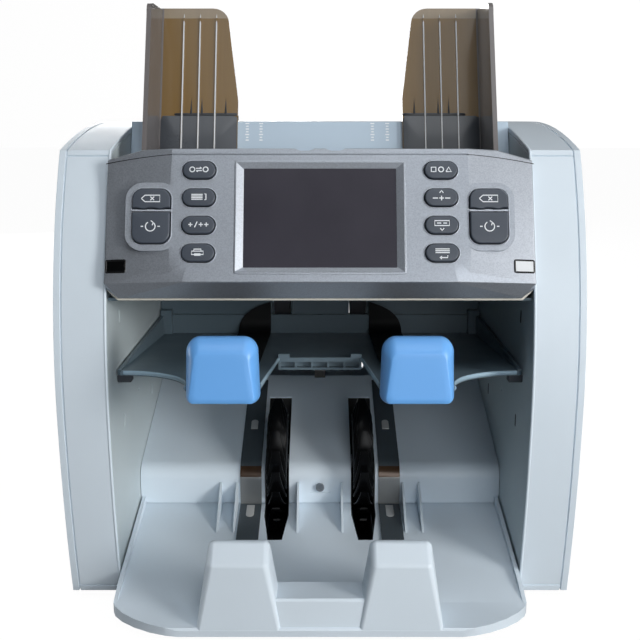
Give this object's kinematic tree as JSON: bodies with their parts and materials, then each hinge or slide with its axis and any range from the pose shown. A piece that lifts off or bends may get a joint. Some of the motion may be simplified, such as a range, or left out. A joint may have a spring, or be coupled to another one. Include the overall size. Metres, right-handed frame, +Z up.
{
  "type": "banknote counter",
  "caption": "Free-standing two-pocket banknote counter with a sloping hopper, sliding note guides, tilted key console, reject tray and a stacker tray with vaned wheels.",
  "frame": {"origin": "on the desk under the middle of the footprint", "axes": "+Z up, the pockets and the console face -Y, +X to the viewer's right when facing the front"},
  "size_m": [0.26, 0.286, 0.3071],
  "materials": {
    "white": "satin",
    "frame_grey": "satin",
    "steel": "brushed",
    "rubber": "matte",
    "hopper_grey": "satin",
    "dark_plastic": "satin",
    "smoked": "clear smoked",
    "black": "gloss",
    "silver": "satin metallic paint",
    "pan_grey": "satin",
    "screen": "gloss",
    "board": "satin",
    "keys": "satin",
    "blue": "satin",
    "polished": "polished",
    "dark_film": "gloss"
  },
  "bodies": {
    "chassis": {"base_plate": "steel", "rubber_feet": "rubber", "side_frame_left": "frame_grey", "side_frame_right": "frame_grey", "side_cover_left": "white", "side_cover_right": "white", "rear_cover": "white", "top_cover": "white", "hopper_wall": "hopper_grey", "hopper_floor": "dark_plastic", "guide_rail": "steel", "console_shell": "silver", "console_pan": "pan_grey", "display_bezel": "silver", "display_panel": "screen", "keypad_board": "board", "indicator_windows": "black", "pocket_ceiling": "dark_plastic", "reject_tray": "dark_plastic", "reject_lips": "blue", "reject_back_plate": "dark_plastic", "reject_strips": "dark_film", "reject_sensor": "black", "stacker_tray": "white", "stacker_ramp": "white", "stacker_strips": "polished", "ramp_screw": "steel", "drive_motor": "steel", "drive_belts": "rubber", "sensor_bars": "dark_plastic", "main_board": "board", "power_supply": "steel", "power_inlet": "black", "switch_housing": "black"},
    "guide_left": {"hopper_guide_left": "smoked", "guide_carriage_left": "black"},
    "guide_right": {"hopper_guide_right": "smoked", "guide_carriage_right": "black"},
    "key_left_1_body": {"key_left_1": "keys"},
    "key_left_2_body": {"key_left_2": "keys"},
    "key_left_3_body": {"key_left_3": "keys"},
    "key_left_4_body": {"key_left_4": "keys"},
    "key_right_1_body": {"key_right_1": "keys"},
    "key_right_2_body": {"key_right_2": "keys"},
    "key_right_3_body": {"key_right_3": "keys"},
    "key_right_4_body": {"key_right_4": "keys"},
    "clear_key_left_body": {"clear_key_left": "keys"},
    "reset_key_left_body": {"reset_key_left": "keys"},
    "clear_key_right_body": {"clear_key_right": "keys"},
    "reset_key_right_body": {"reset_key_right": "keys"},
    "door": {"rear_door": "white"},
    "rocker": {"power_switch": "black"},
    "stacker_rotor": {"stacker_wheels": "black", "stacker_shaft": "steel"},
    "reject_rotor": {"reject_wheels": "rubber"},
    "feed_rotor": {"feed_rollers": "rubber"},
    "transport_rotor": {"transport_rollers": "rubber"},
    "motor_rotor": {"motor_pulley": "steel"},
    "gate": {"diverter_gate": "dark_plastic"}
  },
  "joints": [
    {"name": "guide_left_slide", "type": "slide", "parent": "chassis", "child": "guide_left", "axis": [-1, 0, 0], "range_m": [-0.036, 0.012]},
    {"name": "guide_right_slide", "type": "slide", "parent": "chassis", "child": "guide_right", "axis": [1, 0, 0], "range_m": [-0.036, 0.012]},
    {"name": "key_left_1_press", "type": "slide", "parent": "chassis", "child": "key_left_1_body", "axis": [0, 0.9367, -0.3502], "range_m": [0, 0.0012], "stiffness_N_per_m": 400, "springref_m": -0.0005},
    {"name": "key_left_2_press", "type": "slide", "parent": "chassis", "child": "key_left_2_body", "axis": [0, 0.9367, -0.3502], "range_m": [0, 0.0012], "stiffness_N_per_m": 400, "springref_m": -0.0005},
    {"name": "key_left_3_press", "type": "slide", "parent": "chassis", "child": "key_left_3_body", "axis": [0, 0.9367, -0.3502], "range_m": [0, 0.0012], "stiffness_N_per_m": 400, "springref_m": -0.0005},
    {"name": "key_left_4_press", "type": "slide", "parent": "chassis", "child": "key_left_4_body", "axis": [0, 0.9367, -0.3502], "range_m": [0, 0.0012], "stiffness_N_per_m": 400, "springref_m": -0.0005},
    {"name": "key_right_1_press", "type": "slide", "parent": "chassis", "child": "key_right_1_body", "axis": [0, 0.9367, -0.3502], "range_m": [0, 0.0012], "stiffness_N_per_m": 400, "springref_m": -0.0005},
    {"name": "key_right_2_press", "type": "slide", "parent": "chassis", "child": "key_right_2_body", "axis": [0, 0.9367, -0.3502], "range_m": [0, 0.0012], "stiffness_N_per_m": 400, "springref_m": -0.0005},
    {"name": "key_right_3_press", "type": "slide", "parent": "chassis", "child": "key_right_3_body", "axis": [0, 0.9367, -0.3502], "range_m": [0, 0.0012], "stiffness_N_per_m": 400, "springref_m": -0.0005},
    {"name": "key_right_4_press", "type": "slide", "parent": "chassis", "child": "key_right_4_body", "axis": [0, 0.9367, -0.3502], "range_m": [0, 0.0012], "stiffness_N_per_m": 400, "springref_m": -0.0005},
    {"name": "clear_key_left_press", "type": "slide", "parent": "chassis", "child": "clear_key_left_body", "axis": [0, 0.9367, -0.3502], "range_m": [0, 0.0012], "stiffness_N_per_m": 400, "springref_m": -0.0005},
    {"name": "reset_key_left_press", "type": "slide", "parent": "chassis", "child": "reset_key_left_body", "axis": [0, 0.9367, -0.3502], "range_m": [0, 0.0012], "stiffness_N_per_m": 400, "springref_m": -0.0005},
    {"name": "clear_key_right_press", "type": "slide", "parent": "chassis", "child": "clear_key_right_body", "axis": [0, 0.9367, -0.3502], "range_m": [0, 0.0012], "stiffness_N_per_m": 400, "springref_m": -0.0005},
    {"name": "reset_key_right_press", "type": "slide", "parent": "chassis", "child": "reset_key_right_body", "axis": [0, 0.9367, -0.3502], "range_m": [0, 0.0012], "stiffness_N_per_m": 400, "springref_m": -0.0005},
    {"name": "rear_door_hinge", "type": "hinge", "parent": "chassis", "child": "door", "pos_m": [0, 0.1362, 0.225], "axis": [1, 0, 0], "range_deg": [0, 80]},
    {"name": "power_rocker", "type": "hinge", "parent": "chassis", "child": "rocker", "pos_m": [-0.028, 0.1398, 0.034], "axis": [1, 0, 0], "range_deg": [-16, 0]},
    {"name": "transport_spin", "type": "hinge", "parent": "chassis", "child": "transport_rotor", "pos_m": [0, 0.09699, 0.15301], "axis": [1, 0, 0], "continuous": true},
    {"name": "feed_spin", "type": "hinge", "parent": "chassis", "child": "feed_rotor", "pos_m": [0, -0.062, 0.1791], "axis": [1, 0, 0], "continuous": true},
    {"name": "reject_spin", "type": "hinge", "parent": "chassis", "child": "reject_rotor", "pos_m": [0, 0.06269, 0.13401], "axis": [1, 0, 0], "continuous": true},
    {"name": "stacker_spin", "type": "hinge", "parent": "chassis", "child": "stacker_rotor", "pos_m": [0, -0.02, 0.0455], "axis": [1, 0, 0], "continuous": true},
    {"name": "motor_spin", "type": "hinge", "parent": "chassis", "child": "motor_rotor", "pos_m": [0, 0.083, 0.048], "axis": [1, 0, 0], "continuous": true},
    {"name": "diverter_swing", "type": "hinge", "parent": "chassis", "child": "gate", "pos_m": [0, 0.0857, 0.11102], "axis": [1, 0, 0], "range_deg": [0, 12], "stiffness_Nm_per_rad": 0.4, "springref_deg": -11.46}
  ],
  "couplings": [
    {"joint": "feed_spin", "follows": "transport_spin", "ratio": 1.2222},
    {"joint": "reject_spin", "follows": "transport_spin", "ratio": 1.375},
    {"joint": "motor_spin", "follows": "transport_spin", "ratio": 2.2857},
    {"joint": "stacker_spin", "follows": "transport_spin", "ratio": 1.4545}
  ]
}
